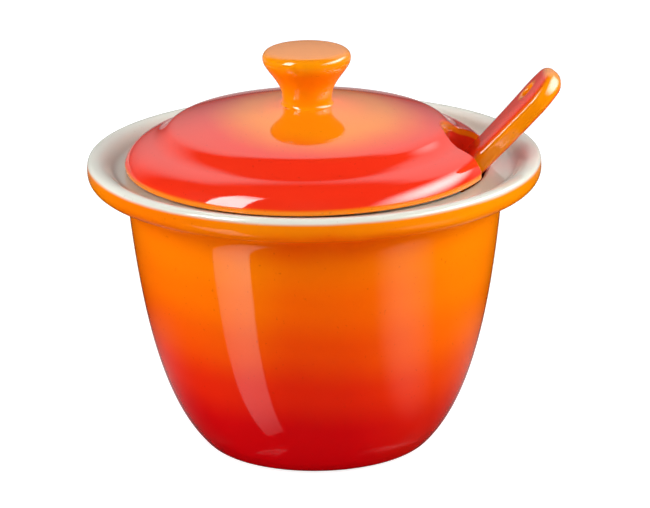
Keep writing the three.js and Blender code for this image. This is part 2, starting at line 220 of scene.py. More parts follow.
def figure(tree, operation, *values):
    """A sum on one or two values of the surface."""
    step = tree.nodes.new("ShaderNodeMath")
    step.operation = operation
    for value, socket in zip(values, step.inputs):
        join(tree, value, socket)
    return step.outputs[0]


def sway(tree, value, amount):
    """A value from 0 to 1, made to swing about zero by an amount."""
    return figure(tree, "MULTIPLY", figure(tree, "SUBTRACT", value, 0.5), amount)


def fade(tree, value, low, high, start=0.0, end=1.0):
    """Runs softly from start to end while a value goes from low to high."""
    step = tree.nodes.new("ShaderNodeMapRange")
    step.interpolation_type = "SMOOTHSTEP"
    for number, entry in enumerate((value, low, high, start, end)):
        join(tree, entry, step.inputs[number])
    return step.outputs[0]


def climb(tree, value, low, high, start=0.0, end=1.0):
    """Runs evenly from start to end while a value goes from low to high."""
    result = fade(tree, value, low, high, start, end)
    result.node.interpolation_type = "LINEAR"
    return result


def over(tree, mask, below, above):
    """One colour over another, where the mask lets it through."""
    step = tree.nodes.new("ShaderNodeMix")
    step.data_type = "RGBA"
    mask_socket, below_socket, above_socket, colour_socket = 0, 6, 7, 2
    join(tree, mask, step.inputs[mask_socket])
    join(tree, below, step.inputs[below_socket])
    join(tree, above, step.inputs[above_socket])
    return step.outputs[colour_socket]


def cloud(tree, place, scale, detail):
    """Uneven patches of the glaze, as a value from 0 to 1."""
    step = tree.nodes.new("ShaderNodeTexNoise")
    step.inputs["Scale"].default_value = scale
    step.inputs["Detail"].default_value = detail
    tree.links.new(place, step.inputs["Vector"])
    return step.outputs[0]


def new_group(name, takes, gives):
    """An empty node group with its named inputs and outputs."""
    tree = bpy.data.node_groups.new(name, "ShaderNodeTree")
    for title, kind in takes:
        tree.interface.new_socket(title, in_out="INPUT", socket_type=kind)
    for title, kind in gives:
        tree.interface.new_socket(title, in_out="OUTPUT", socket_type=kind)
    return tree, tree.nodes.new("NodeGroupInput"), tree.nodes.new("NodeGroupOutput")


# Fired glaze is never quite even: it drifts in depth, holds fine specks, and its
# skin has a faint ripple that bends what it mirrors.
DRIFT_SCALE, SWELL_SCALE, FINE_SCALE, GRIT_SCALE = 34, 62, 260, 1150
SPECK_LEVELS = (0.70, 0.78)
FINE_RIPPLE = 0.06
glaze_skin, taken, given = new_group(
    "glaze_skin",
    [("Place", "NodeSocketVector"), ("Gloss", "NodeSocketFloat"), ("Unevenness", "NodeSocketFloat")],
    [("Drift", "NodeSocketFloat"), ("Specks", "NodeSocketFloat"),
     ("Roughness", "NodeSocketFloat"), ("Ripple", "NodeSocketFloat")])
drift = cloud(glaze_skin, taken.outputs["Place"], DRIFT_SCALE, detail=3.0)
fine = cloud(glaze_skin, taken.outputs["Place"], FINE_SCALE, detail=2.0)
grit = cloud(glaze_skin, taken.outputs["Place"], GRIT_SCALE, detail=1.0)
swell = cloud(glaze_skin, taken.outputs["Place"], SWELL_SCALE, detail=1.0)
spread = sway(glaze_skin, fine, taken.outputs["Unevenness"])
rough = figure(glaze_skin, "ADD", taken.outputs["Gloss"], spread)
ripple = figure(glaze_skin, "ADD", swell, figure(glaze_skin, "MULTIPLY", fine, FINE_RIPPLE))
glaze_skin.links.new(drift, given.inputs["Drift"])
glaze_skin.links.new(fade(glaze_skin, grit, *SPECK_LEVELS), given.inputs["Specks"])
glaze_skin.links.new(rough, given.inputs["Roughness"])
glaze_skin.links.new(ripple, given.inputs["Ripple"])

# Where glaze runs off an edge it fires thin, and the colour breaks there.
glaze_break, taken, given = new_group(
    "glaze_break",
    [("Distance", "NodeSocketFloat"), ("Drift", "NodeSocketFloat"), ("Wander", "NodeSocketFloat"),
     ("Near", "NodeSocketFloat"), ("Far", "NodeSocketFloat")],
    [("Thin", "NodeSocketFloat")])
wandering = sway(glaze_break, taken.outputs["Drift"], taken.outputs["Wander"])
wandered = figure(glaze_break, "ADD", taken.outputs["Distance"], wandering)
glaze_break.links.new(
    fade(glaze_break, wandered, taken.outputs["Near"], taken.outputs["Far"], 1.0, 0.0),
    given.inputs["Thin"])

GLAZE_IOR = 1.5
GLAZE_GLOSS, GLAZE_UNEVENNESS = 0.055, 0.06
RIPPLE_DEPTH = 0.05


def use(tree, group, **values):
    """Places a node group in a material with its own values."""
    step = tree.nodes.new("ShaderNodeGroup")
    step.node_tree = group
    for title, value in values.items():
        join(tree, value, step.inputs[title])
    return step.outputs


def broken(tree, skin, name, wander, near, far):
    """Where the glaze is thin, by the distance that mark() wrote on the mesh."""
    step = tree.nodes.new("ShaderNodeAttribute")
    step.attribute_name = name
    return use(tree, glaze_break, Distance=step.outputs["Fac"], Drift=skin["Drift"],
               Wander=wander, Near=near, Far=far)["Thin"]


def specked(tree, skin, colour, speck, shown=0.2):
    """A colour with the fine specks of the fired skin in it, as far as they show."""
    return over(tree, figure(tree, "MULTIPLY", skin["Specks"], shown), colour, speck)


def start_glaze(name):
    """A glossy glaze with the fired skin, before its colours."""
    glaze = bpy.data.materials.new(name)
    glaze.use_nodes = True
    tree = glaze.node_tree
    shader = tree.nodes["Principled BSDF"]
    shader.inputs["IOR"].default_value = GLAZE_IOR
    place = tree.nodes.new("ShaderNodeTexCoord").outputs["Object"]
    skin = use(tree, glaze_skin, Place=place, Gloss=GLAZE_GLOSS, Unevenness=GLAZE_UNEVENNESS)
    tree.links.new(skin["Roughness"], shader.inputs["Roughness"])
    bump = tree.nodes.new("ShaderNodeBump")
    bump.inputs["Strength"].default_value = 1.0
    bump.inputs["Distance"].default_value = RIPPLE_DEPTH * MM
    tree.links.new(skin["Ripple"], bump.inputs["Height"])
    tree.links.new(bump.outputs["Normal"], shader.inputs["Normal"])
    return glaze, tree, shader, place, skin


def ramp(tree, value, stops):
    """A run of colours along a value from 0 to 1."""
    step = tree.nodes.new("ShaderNodeValToRGB")
    band = step.color_ramp
    band.interpolation = "EASE"
    while len(band.elements) < len(stops):
        band.elements.new(0.5)
    for element, (position, colour) in zip(band.elements, stops):
        element.position = position
        element.color = colour
    tree.links.new(value, step.inputs["Fac"])
    return step.outputs["Color"]


CREAM, CREAM_SHADED, CREAM_SPECK = fired(229, 229, 216), fired(212, 214, 201), fired(180, 170, 150)
# The orange deepens to dark red towards the foot. The darker stop at 0.90, just under the rim, is painted
# shade where the rim overhangs the wall.
FLAME_AND_RIM_SHADE_STOPS = (
    (0.00, fired(207, 2, 12)),
    (0.18, fired(209, 8, 13)),
    (0.34, fired(228, 38, 11)),
    (0.50, fired(241, 72, 6)),
    (0.66, fired(249, 97, 2)),
    (0.80, fired(252, 113, 1)),
    (0.90, fired(246, 88, 1)),
    (0.96, fired(250, 131, 4)),
)
FLAME_SWAY = 0.10
FLAME_SPECK = fired(170, 40, 5)
# Painted light and painted shade fade across the pot, by its X, and up the pot, by a share
# of its height. Each fade is given as low and high, and then its start and end where they aren't 0 and 1.
SIDE_LIGHT_ORANGE, RIM_SHADE_ORANGE = fired(255, 152, 2), fired(238, 98, 1)
PAINTED_LIGHT_RIGHT, PAINTED_LIGHT_RIGHT_UP = (6 * MM, 40 * MM, 0.0, 0.48), (0.12, 0.70, 0.12)
PAINTED_LIGHT_LEFT, PAINTED_LIGHT_LEFT_UP = (-4 * MM, -16 * MM, 0.0, 0.26), (0.30, 0.75)
PAINTED_SHADE_LEFT, PAINTED_SHADE_LEFT_UP = (-8 * MM, -34 * MM, 0.0, 0.5), (0.84, 0.92)
PAINTED_SHADE_END = (-42 * MM, -51 * MM, 1.0, 0.2)

pot_glaze, tree, shader, place, skin = start_glaze("pot_flame_glaze")
axes = axes_of(tree, place)
height = climb(tree, axes["Z"], 0.0, RIM_TOP * MM)
flame = ramp(tree, figure(tree, "ADD", height, sway(tree, skin["Drift"], FLAME_SWAY)), FLAME_AND_RIM_SHADE_STOPS)
# Painted light: the sides where the lamps fall are drawn lighter orange, most on the spoon's
# side and a little on the other. Painted shade: the left side is drawn darker on and under the rim.
lit_right = figure(
    tree, "MULTIPLY", fade(tree, axes["X"], *PAINTED_LIGHT_RIGHT), fade(tree, height, *PAINTED_LIGHT_RIGHT_UP))
lit_left = figure(
    tree, "MULTIPLY", fade(tree, axes["X"], *PAINTED_LIGHT_LEFT), fade(tree, height, *PAINTED_LIGHT_LEFT_UP))
flame = over(tree, figure(tree, "ADD", lit_right, lit_left), flame, SIDE_LIGHT_ORANGE)
shaded_left = figure(
    tree, "MULTIPLY", fade(tree, axes["X"], *PAINTED_SHADE_LEFT), fade(tree, height, *PAINTED_SHADE_LEFT_UP))
shaded_left = figure(tree, "MULTIPLY", shaded_left, fade(tree, axes["X"], *PAINTED_SHADE_END))
flame = over(tree, shaded_left, flame, RIM_SHADE_ORANGE)
flame = specked(tree, skin, flame, FLAME_SPECK, shown=0.25)
# Painted shade: the cream is drawn darker from the rim's top down into the seat and inside.
seat_shade = fade(tree, axes["Z"], SEAT_LEVEL * MM, RIM_TOP * MM)
cream = specked(tree, skin, over(tree, seat_shade, CREAM_SHADED, CREAM), CREAM_SPECK)
covered = broken(tree, skin, "below_line", wander=0.9, near=-0.35, far=0.55)
tree.links.new(over(tree, covered, flame, cream), shader.inputs["Base Color"])
pot.data.materials.append(pot_glaze)
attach(pot, "pot")
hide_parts("pot")


# Lid
# The lid is one turned stoneware plate, a low round dome with a shoulder, and has a
# ring below that keeps it centred. A bite in its edge lets the spoon's handle out.
# It is sprayed coral red, which thins to orange on its edge and round the knob.
LID_RADIUS = 42.4
LID_SHIFT = -1.4
LID_TURN = -5.2
DOME_LEVEL, DOME_TOP = 80.7, 81.1
KNOB_FOOT = 7.2
EDGE_TOP, BAND_FOOT, EDGE_CORNER = 67.8, 67.2, 66.75
EDGE_UNDER = (41.9, 66.72)
LID_DOME = ((KNOB_FOOT, DOME_TOP), (15.1, 80.56), (22.84, 79.13), (30.4, 76.85))
LID_BROW = (LID_DOME[3], (31.2, 76.6), (31.9, 76.25), (32.5, 75.7))
LID_SHOULDER = (LID_BROW[3], (33.6, 74.69), (34.7, 73.62), (36.4, 73.0))
LID_SKIRT = (LID_SHOULDER[3], (39.0, 72.05), (41.2, 71.0), (LID_RADIUS, EDGE_TOP))
FOOT_OUTER, FOOT_INNER = 39.9, 27.9
RING_OUTER, RING_INNER, RING_FOOT = 37.7, 34.1, 62.3
RING_FILLET, RING_EDGE = 0.6, 0.7
HOLLOW_RADIUS = 27.05
HOLLOW_EDGE = (HOLLOW_RADIUS - 0.05, 66.9)
CEILING, VAULT = 71.05, 75.7
HOLLOW_SIDE = (HOLLOW_EDGE, (26.9, 69.6), (25.65, CEILING), (21.45, CEILING))
HOLLOW_TOP = (HOLLOW_SIDE[3], (16.09, 71.91), (7.5, VAULT), (0, VAULT))
NOTCH_CENTRE, NOTCH_RADIUS = 41.2, 9.9
NOTCH_CORNER, NOTCH_EDGE = 2.0, 1.2
EDGE_RUN = 1.6
RING_END = 0.03
NOTCH_COLUMNS, LID_COLUMNS = 84, 276
FAN_TOP = 24.0
HAIR = 1e-6


def locating_ring():
    """The ring's outline: down its outer side, across its foot and up its inner side."""
    root = SEAT_LEVEL - RING_FILLET
    foot = RING_FOOT + RING_EDGE
    outer_foot = (RING_OUTER - RING_EDGE, RING_FOOT)
    inner_foot = (RING_INNER + RING_EDGE, RING_FOOT)
    outline = ease((RING_OUTER + RING_FILLET, SEAT_LEVEL), (RING_OUTER, SEAT_LEVEL), (RING_OUTER, root), 4)
    outline += run((RING_OUTER, root), (RING_OUTER, foot), 3)
    outline += ease((RING_OUTER, foot), (RING_OUTER, RING_FOOT), outer_foot, 4)
    outline += run(outer_foot, inner_foot, 3)
    outline += ease(inner_foot, (RING_INNER, RING_FOOT), (RING_INNER, foot), 4)
    outline += run((RING_INNER, foot), (RING_INNER, root), 3)
    outline += ease((RING_INNER, root), (RING_INNER, SEAT_LEVEL), (RING_INNER - RING_FILLET, SEAT_LEVEL), 4)
    return outline


lid_outline = [np.array((0.0, DOME_TOP))]
lid_outline += run((0, DOME_TOP), (KNOB_FOOT, DOME_TOP), 3)
lid_outline += bow(*LID_DOME, 34)
lid_outline += bow(*LID_BROW, 14)
lid_outline += bow(*LID_SHOULDER, 18)
lid_outline += bow(*LID_SKIRT, 26)
top_rings = len(lid_outline)
lid_outline += run((LID_RADIUS, EDGE_TOP), (LID_RADIUS, BAND_FOOT), 6)
lid_outline += ease((LID_RADIUS, BAND_FOOT), (LID_RADIUS, EDGE_CORNER), EDGE_UNDER, 6)
lid_outline += run(EDGE_UNDER, (FOOT_OUTER, SEAT_LEVEL), 4)
edge_rings = len(lid_outline)
lid_outline += run((FOOT_OUTER, SEAT_LEVEL), (RING_OUTER + RING_FILLET, SEAT_LEVEL), 3)
lid_outline += locating_ring()
lid_outline += run((RING_INNER - RING_FILLET, SEAT_LEVEL), (FOOT_INNER, SEAT_LEVEL), 5)
lid_outline += ease((FOOT_INNER, SEAT_LEVEL), (HOLLOW_RADIUS, SEAT_LEVEL), HOLLOW_EDGE, 4)
lid_outline += bow(*HOLLOW_SIDE, 10)
lid_outline += bow(*HOLLOW_TOP, 16)

lid = turn_on_wheel("lid_plate", lid_outline, LID_COLUMNS)
lid_ring = nearest_ring(lid, lid_outline)
rings = np.array(lid_outline, float)


def notch_outline(share):
    """Half of the bite in plan, from its rounded corner on the edge to its deepest point."""
    hub = LID_RADIUS - NOTCH_CORNER
    reach = NOTCH_RADIUS + NOTCH_CORNER
    corner_turn = math.acos((hub ** 2 + NOTCH_CENTRE ** 2 - reach ** 2) / (2 * hub * NOTCH_CENTRE))
    corner = hub * np.array([math.cos(corner_turn), math.sin(corner_turn)])
    bite_turn = math.atan2(corner[1], corner[0] - NOTCH_CENTRE)
    corner_length = NOTCH_CORNER * (corner_turn + math.pi - bite_turn)
    bite_length = NOTCH_RADIUS * (math.pi - bite_turn)
    length = share * (corner_length + bite_length)
    if length < corner_length:
        turn = corner_turn - length / NOTCH_CORNER
        return corner + NOTCH_CORNER * np.array([math.cos(turn), math.sin(turn)]), corner_turn
    turn = bite_turn + (length - corner_length) / NOTCH_RADIUS
    bite = NOTCH_RADIUS * np.array([math.cos(turn), math.sin(turn)])
    return np.array([NOTCH_CENTRE, 0]) + bite, corner_turn


notch_half = notch_outline(0)[1]
lid_edge, lid_angle = [], []
for column in range(LID_COLUMNS):
    if column < NOTCH_COLUMNS:
        side = 1 - 2 * column / (NOTCH_COLUMNS - 1)
        point, _ = notch_outline(1 - abs(side))
        lid_edge.append(point * (1, 1 if side >= 0 else -1))
        lid_angle.append(notch_half * side)
    else:
        span = (column - NOTCH_COLUMNS + 1) / (LID_COLUMNS - NOTCH_COLUMNS + 1)
        turn = -notch_half - span * (2 * math.pi - 2 * notch_half)
        lid_edge.append(LID_RADIUS * np.array([math.cos(turn), math.sin(turn)]))
        lid_angle.append(turn)
lid_edge, lid_angle = np.array(lid_edge), np.array(lid_angle)


def soft(value, low, high):
    """Goes softly from 0 at low to 1 at high."""
    share = np.clip((np.asarray(value, float) - low) / (high - low), 0, 1)
    return share * share * (3 - 2 * share)


def top_level(radius):
    """Height of the lid's upper face at a distance from its axis."""
    return np.interp(radius, rings[:top_rings, 0], rings[:top_rings, 1])


def step_round(across, up, count):
    """Number of the equal step round an axis on which each point stands."""
    return np.round(np.arctan2(up, across) / (2 * math.pi) * count).astype(int) % count


def face_outward():
    """Turns all faces of the piece at hand outwards."""
    bpy.ops.object.mode_set(mode="EDIT")
    bpy.ops.mesh.select_all(action="SELECT")
    bpy.ops.mesh.normals_make_consistent(inside=False)
    bpy.ops.object.mode_set(mode="OBJECT")


# Every ring of the turned plate is drawn in towards the bite: the upper face keeps
# its height, its edge is rounded over, and the edge band becomes the bite's wall.
places = corners(lid)
column = step_round(places[:, 0], -places[:, 1], LID_COLUMNS)
edge, angle = lid_edge[column], lid_angle[column]
spoke = np.stack([np.cos(angle), np.sin(angle)], 1)
radius, level = rings[lid_ring, 0], rings[lid_ring, 1]
on_top = lid_ring < top_rings
on_band = (lid_ring >= top_rings) & (lid_ring < edge_rings)
fan = np.where(on_top, FAN_TOP, HOLLOW_RADIUS)
share = np.clip((radius - fan) / (LID_RADIUS - fan), 0, 1)
root = spoke * fan[:, None]
moved = np.where((radius > fan)[:, None], root + share[:, None] * (edge - root), spoke * radius[:, None])
edge_reach = np.linalg.norm(edge, axis=1)
rounding = NOTCH_EDGE * soft(LID_RADIUS - edge_reach, 0.0, EDGE_RUN)
inset = (1 - share) * np.linalg.norm(edge - root, axis=1)
rolled = np.maximum(rounding - inset, 0)
drop = rounding - np.sqrt(np.maximum(rounding ** 2 - rolled ** 2, 0))
wall_top = top_level(edge_reach) - rounding
down_wall = np.clip((EDGE_TOP - level) / (EDGE_TOP - BAND_FOOT), 0, 1)
ring_there = soft(np.abs(angle), notch_half - RING_END, notch_half + RING_END)
height = np.where(on_top, top_level(np.linalg.norm(moved, axis=1)) - drop, level)
on_wall = on_band & (level >= BAND_FOOT - HAIR)
height = np.where(on_wall, wall_top + (BAND_FOOT - wall_top) * down_wall, height)
height = np.where(level < SEAT_LEVEL - HAIR, SEAT_LEVEL - (SEAT_LEVEL - level) * ring_there, height)
turn = math.radians(LID_TURN)
turned = moved @ np.array([[math.cos(turn), math.sin(turn)], [-math.sin(turn), math.cos(turn)]])
push(lid, np.stack([turned[:, 0] + LID_SHIFT, turned[:, 1], height], 1))

# The orange shows along the edge and on the bite's lip, where the glaze fires thin.
# Deeper at the bite's back the orange is painted light, where the bite's inner end is lit.
NOTCH_MARGIN = 0.02
LIP_ABOVE, LIP_BELOW = 0.5, 0.2
NOTCH_PAINTED_LIGHT = 1.7
BACK_FROM, BACK_TO = 2.6, 0.4
lid_length = along(lid_outline)
to_edge_and_lit = lid_length[top_rings - 1] - lid_length[lid_ring]
in_notch = np.abs(angle) < notch_half - NOTCH_MARGIN
to_edge_and_lit = np.where(in_notch & on_top, np.minimum(to_edge_and_lit, inset - LIP_ABOVE), to_edge_and_lit)
# Painted light: the orange reaches further down the wall at the bite's lit inner end.
lit_back = soft(edge_reach, edge_reach.min() + BACK_FROM, edge_reach.min() + BACK_TO)
down_lip = wall_top - height + LIP_BELOW - NOTCH_PAINTED_LIGHT * lit_back
to_edge_and_lit = np.where(in_notch & on_wall, down_lip, to_edge_and_lit)
mark(lid, "to_edge_and_lit", to_edge_and_lit)
mark(lid, "under", lid_length[lid_ring] - lid_length[edge_rings])
face_outward()

CORAL, CORAL_DEEP, CORAL_SPECK = fired(247, 58, 28), fired(240, 40, 18), fired(160, 20, 8)
EDGE_ORANGE = fired(252, 139, 6)
CROWN_ORANGE = fired(251, 138, 8)
GLOW_ASIDE, GLOW_FORWARD = 3.0, 4
GLOW_FROM, GLOW_TO, GLOW_WANDER = 14, 27.5, 9


def from_upright(tree, axes):
    """Distance from the upright axis through the middle."""
    squares = [figure(tree, "POWER", axes[name], 2.0) for name in ("X", "Y")]
    return figure(tree, "SQRT", figure(tree, "ADD", *squares))


lid_glaze, tree, shader, place, skin = start_glaze("lid_coral_glaze")
centred = tree.nodes.new("ShaderNodeMapping")
centred.inputs["Location"].default_value = ((-LID_SHIFT - GLOW_ASIDE) * MM, GLOW_FORWARD * MM, 0)
tree.links.new(place, centred.inputs["Vector"])
from_axis = from_upright(tree, axes_of(tree, centred.outputs[0]))
wandered = figure(tree, "ADD", from_axis, sway(tree, skin["Drift"], GLOW_WANDER * MM))
glow = fade(tree, wandered, GLOW_FROM * MM, GLOW_TO * MM, 1.0, 0.0)
coral = over(tree, skin["Drift"], CORAL_DEEP, CORAL)
coral = over(tree, glow, coral, CROWN_ORANGE)
# This mask holds the real orange of the edge and the bite's lip, and the painted light at the bite's back.
thin = broken(tree, skin, "to_edge_and_lit", wander=0.8, near=-0.35, far=0.70)
coral = over(tree, thin, coral, EDGE_ORANGE)
coral = specked(tree, skin, coral, CORAL_SPECK)
sprayed = broken(tree, skin, "under", wander=0.6, near=-0.3, far=0.4)
tree.links.new(over(tree, sprayed, CREAM, coral), shader.inputs["Base Color"])
lid.data.materials.append(lid_glaze)
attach(lid, "lid")
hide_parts("lid")


# Knob
# The knob is turned by itself and stuck on the dome with slip before the glaze is
# fired. It has a filleted foot, a narrow waist and a full head with a flat top.
KNOB_STEPS = 144
KNOB_HEIGHT = 13.5
KNOB_WAIST, KNOB_RADIUS = 5.7, 10.2
KNOB_FILLET = ((KNOB_FOOT, 0), (6.3, 0.08), (KNOB_WAIST, 0.5), (KNOB_WAIST, 1.7))
KNOB_FLARE = (KNOB_FILLET[3], (KNOB_WAIST, 6.21), (KNOB_RADIUS, 8.71), (KNOB_RADIUS, 11.3))
KNOB_BROW = (KNOB_FLARE[3], (KNOB_RADIUS, 12.4), (9.345, 13.11), (8.3, 13.2))
KNOB_CAP = (KNOB_BROW[3], (5.48, 13.44), (2.74, KNOB_HEIGHT), (0, KNOB_HEIGHT))
knob_outline = [np.array((0.0, 0.0))]
knob_outline += run((0, 0), (KNOB_FOOT, 0), 4)
knob_outline += bow(*KNOB_FILLET, 14)
knob_outline += bow(*KNOB_FLARE, 30)
knob_outline += bow(*KNOB_BROW, 16)
knob_outline += bow(*KNOB_CAP, 12)
knob = turn_on_wheel("knob_head", [p + (0, DOME_LEVEL) for p in knob_outline], KNOB_STEPS)
push(knob, corners(knob) + (LID_SHIFT, 0, 0))

# The orange is drawn darker in the flare under the head: painted shade.
KNOB_ORANGE_AND_SHADE = (
    (0.00, fired(252, 146, 6)),
    (0.28, fired(251, 144, 5)),
    (0.62, fired(249, 130, 3)),
    (0.88, fired(252, 150, 6)),
    (1.00, fired(250, 144, 16)),
)
KNOB_SWAY = 0.14
KNOB_SPECK = fired(190, 80, 5)
knob_glaze, tree, shader, place, skin = start_glaze("knob_orange_glaze")
height = climb(tree, axes_of(tree, place)["Z"], DOME_LEVEL * MM, (DOME_LEVEL + KNOB_HEIGHT) * MM)
orange = ramp(tree, figure(tree, "ADD", height, sway(tree, skin["Drift"], KNOB_SWAY)), KNOB_ORANGE_AND_SHADE)
orange = specked(tree, skin, orange, KNOB_SPECK)
tree.links.new(orange, shader.inputs["Base Color"])
knob.data.materials.append(knob_glaze)
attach(knob, "lid")
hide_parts("lid_knob")


# Spoon
# The spoon is pressed from stoneware: a shallow oval bowl, a neck, and a flat handle
# that widens to a round end with a hole to hang it by. Its red glaze breaks to
# orange on the sides, and it leans loose in the pot with the handle in the bite.
SPOON_LENGTH = 112.93
SPOON_PLACE = (-22.410, -1.5, 6.597)
SPOON_TILT = 45.5
BOWL_LENGTH, BOWL_WIDTH, BOWL_DEPTH, BOWL_WALL = 36.0, 25.0, 6.0, 3.4
BOWL_ROUND = 1.25
HANDLE_NECK, HANDLE_END, HANDLE_THICK = 9.3, 15.6, 5.3
HANDLE_SPREAD = 2.4
NECK_FROM, NECK_TO, NECK_BLEND = BOWL_LENGTH * 0.3, BOWL_LENGTH * 1.05, 5
THICK_FROM, THICK_TO = BOWL_LENGTH / 2, BOWL_LENGTH * 1.3
SIDE_ROUND = 0.55
BEND_LENGTH, BEND_TURN = 28.0, 4.0
HOLE_AT = SPOON_LENGTH - HANDLE_END / 2
HOLE_RADIUS, HOLE_EDGE, HOLE_CUTS = 1.75, 0.7, 11
SPOON_STATIONS, SPOON_AROUND, SECTION_POINTS = 150, 72, 1441
TIP_CROWDING = 0.4
TIP_START, HOLE_START = 0.4, 1.2


def bend_rise(x):
    """How far the upturned end of the handle stands above the spoon's straight line."""
    bent = np.maximum(0.0, x - (SPOON_LENGTH - BEND_LENGTH))
    return bent ** 2 * math.tan(math.radians(BEND_TURN)) / (2 * BEND_LENGTH)


def spoon_section(x):
    """The spoon's outline across its length, at a distance from the bowl's tip."""
    span = max(0.0, 1 - (2 * x / BOWL_LENGTH - 1) ** 2)
    bowl = BOWL_WIDTH / 2 * math.sqrt(span)
    widen = min(max((x - BOWL_LENGTH) / (HOLE_AT - BOWL_LENGTH), 0), 1) ** HANDLE_SPREAD
    handle = (HANDLE_NECK + (HANDLE_END - HANDLE_NECK) * widen) / 2
    neck = handle * float(soft(x, NECK_FROM, NECK_TO))
    half = (bowl ** NECK_BLEND + neck ** NECK_BLEND) ** (1 / NECK_BLEND)
    if x > HOLE_AT:
        half = min(half, math.sqrt(max((HANDLE_END / 2) ** 2 - (x - HOLE_AT) ** 2, 0)))
    thick = BOWL_WALL + (HANDLE_THICK - BOWL_WALL) * float(soft(x, THICK_FROM, THICK_TO))
    tip = thick / 2
    reach = min(x, SPOON_LENGTH - x)
    if reach < tip:
        thick *= math.sqrt(max(1 - (1 - reach / tip) ** 2, 0))
    rise = bend_rise(x)
    dish = BOWL_DEPTH * span ** BOWL_ROUND
    t = np.linspace(0, 2 * math.pi, SECTION_POINTS)
    across = np.sign(np.cos(t)) * np.abs(np.cos(t)) ** SIDE_ROUND
    up = np.sign(np.sin(t)) * np.abs(np.sin(t)) ** SIDE_ROUND
    y = half * across
    z = rise + thick / 2 * up - dish * (1 - across ** 2)
    length = np.concatenate([[0], np.cumsum(np.hypot(np.diff(y), np.diff(z)))])
    if length[-1] < HAIR:
        return np.zeros((SPOON_AROUND, 2)) + (0, rise), np.zeros(SPOON_AROUND)
    stop = np.linspace(0, length[-1], SPOON_AROUND + 1)[:-1]
    side = np.minimum.reduce([np.abs(stop - s * length[-1] / 2) for s in (0, 1, 2)])
    return np.stack([np.interp(stop, length, y), np.interp(stop, length, z)], 1), side


bpy.ops.object.select_all(action="DESELECT")
bpy.ops.mesh.primitive_circle_add(vertices=SPOON_AROUND, radius=MM, rotation=(math.pi / 2, 0, math.pi / 2))
spoon = bpy.context.object
spoon.name = spoon.data.name = "spoon_body"
bpy.ops.object.transform_apply(location=True, rotation=True, scale=True)
bpy.ops.object.mode_set(mode="EDIT")
for _ in range(SPOON_STATIONS):
    bpy.ops.mesh.extrude_edges_move(TRANSFORM_OT_translate={"value": (MM, 0, 0)})
bpy.ops.object.mode_set(mode="OBJECT")
places = corners(spoon)
station = np.round(places[:, 0]).astype(int)
spot = step_round(places[:, 1], places[:, 2], SPOON_AROUND)
# The stations stand closer together towards the two rounded tips.
share = np.linspace(0, 1, SPOON_STATIONS + 1)
crowded = (1 - np.cos(math.pi * share)) / 2
stations = SPOON_LENGTH * ((1 - TIP_CROWDING) * share + TIP_CROWDING * crowded)
drawn = [spoon_section(x) for x in stations]
shape = np.array([section for section, _ in drawn])
side = np.array([gap for _, gap in drawn])
push(spoon, np.column_stack([stations[station], shape[station, spot]]))
tip_gap = np.minimum(stations, SPOON_LENGTH - stations)
mark(spoon, "to_side", np.minimum(side, tip_gap[:, None] + TIP_START)[station, spot])

# The hanging hole: a patch of faces is taken out of both sides and bridged through.
patch = HOLE_RADIUS + HOLE_EDGE
for face in spoon.data.polygons:
    centre = Vector(face.center) / MM
    face.select = math.hypot(centre.x - HOLE_AT, centre.y) < patch
bpy.ops.object.mode_set(mode="EDIT")
bpy.ops.mesh.select_mode(type="FACE")
bpy.ops.mesh.delete(type="FACE")
bpy.ops.mesh.select_mode(type="VERT")
bpy.ops.mesh.select_all(action="SELECT")
bpy.ops.mesh.remove_doubles(threshold=MERGE_GAP * MM)
bpy.ops.mesh.select_all(action="DESELECT")
bpy.ops.mesh.select_non_manifold(extend=False, use_wire=False, use_boundary=True,
                                 use_multi_face=False, use_non_contiguous=False, use_verts=False)
bpy.ops.mesh.select_mode(type="EDGE")
bpy.ops.mesh.bridge_edge_loops(number_cuts=HOLE_CUTS, interpolation="LINEAR")
bpy.ops.mesh.select_mode(type="VERT")
bpy.ops.object.mode_set(mode="OBJECT")
places = corners(spoon)
held = np.array([v.select for v in spoon.data.vertices])
off = places[held, :2] - (HOLE_AT, 0)
off /= np.linalg.norm(off, axis=1)[:, None]
middle = bend_rise(places[held, 0])
level = np.clip((places[held, 2] - middle) / (HANDLE_THICK / 2), -1, 1)
level = np.sign(level) * (1 - (1 - np.abs(level)) ** 2)
rolled = np.maximum(np.abs(level) * HANDLE_THICK / 2 - (HANDLE_THICK / 2 - HOLE_EDGE), 0)
bore = patch - np.sqrt(np.maximum(HOLE_EDGE ** 2 - rolled ** 2, 0))
places[held, :2] = off * bore[:, None] + (HOLE_AT, 0)
places[held, 2] = middle + level * HANDLE_THICK / 2
push(spoon, places)
to_side = spoon.data.attributes["to_side"].data
sides = np.empty(len(spoon.data.vertices), np.float32)
to_side.foreach_get("value", sides)
hole_gap = np.maximum(np.hypot(places[:, 0] - HOLE_AT, places[:, 1]) - HOLE_RADIUS, 0)
to_side.foreach_set("value", np.minimum(sides, hole_gap + HOLE_START).astype(np.float32))
face_outward()
bpy.ops.object.shade_smooth()
spoon.rotation_euler = (0, -math.radians(SPOON_TILT), 0)
spoon.location = Vector(SPOON_PLACE) * MM
bpy.ops.object.transform_apply(location=True, rotation=True, scale=True)

SPOON_RED, SPOON_DEEP, SPOON_SPECK = fired(238, 62, 28), fired(226, 48, 22), fired(150, 25, 8)
SPOON_ORANGE = fired(254, 146, 5)
spoon_glaze, tree, shader, place, skin = start_glaze("spoon_red_glaze")
red = over(tree, skin["Drift"], SPOON_DEEP, SPOON_RED)
thin = broken(tree, skin, "to_side", wander=0.9, near=1.2, far=2.9)
red = over(tree, thin, red, SPOON_ORANGE)
red = specked(tree, skin, red, SPOON_SPECK)
tree.links.new(red, shader.inputs["Base Color"])
spoon.data.materials.append(spoon_glaze)
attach(spoon, "spoon")
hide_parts("spoon")


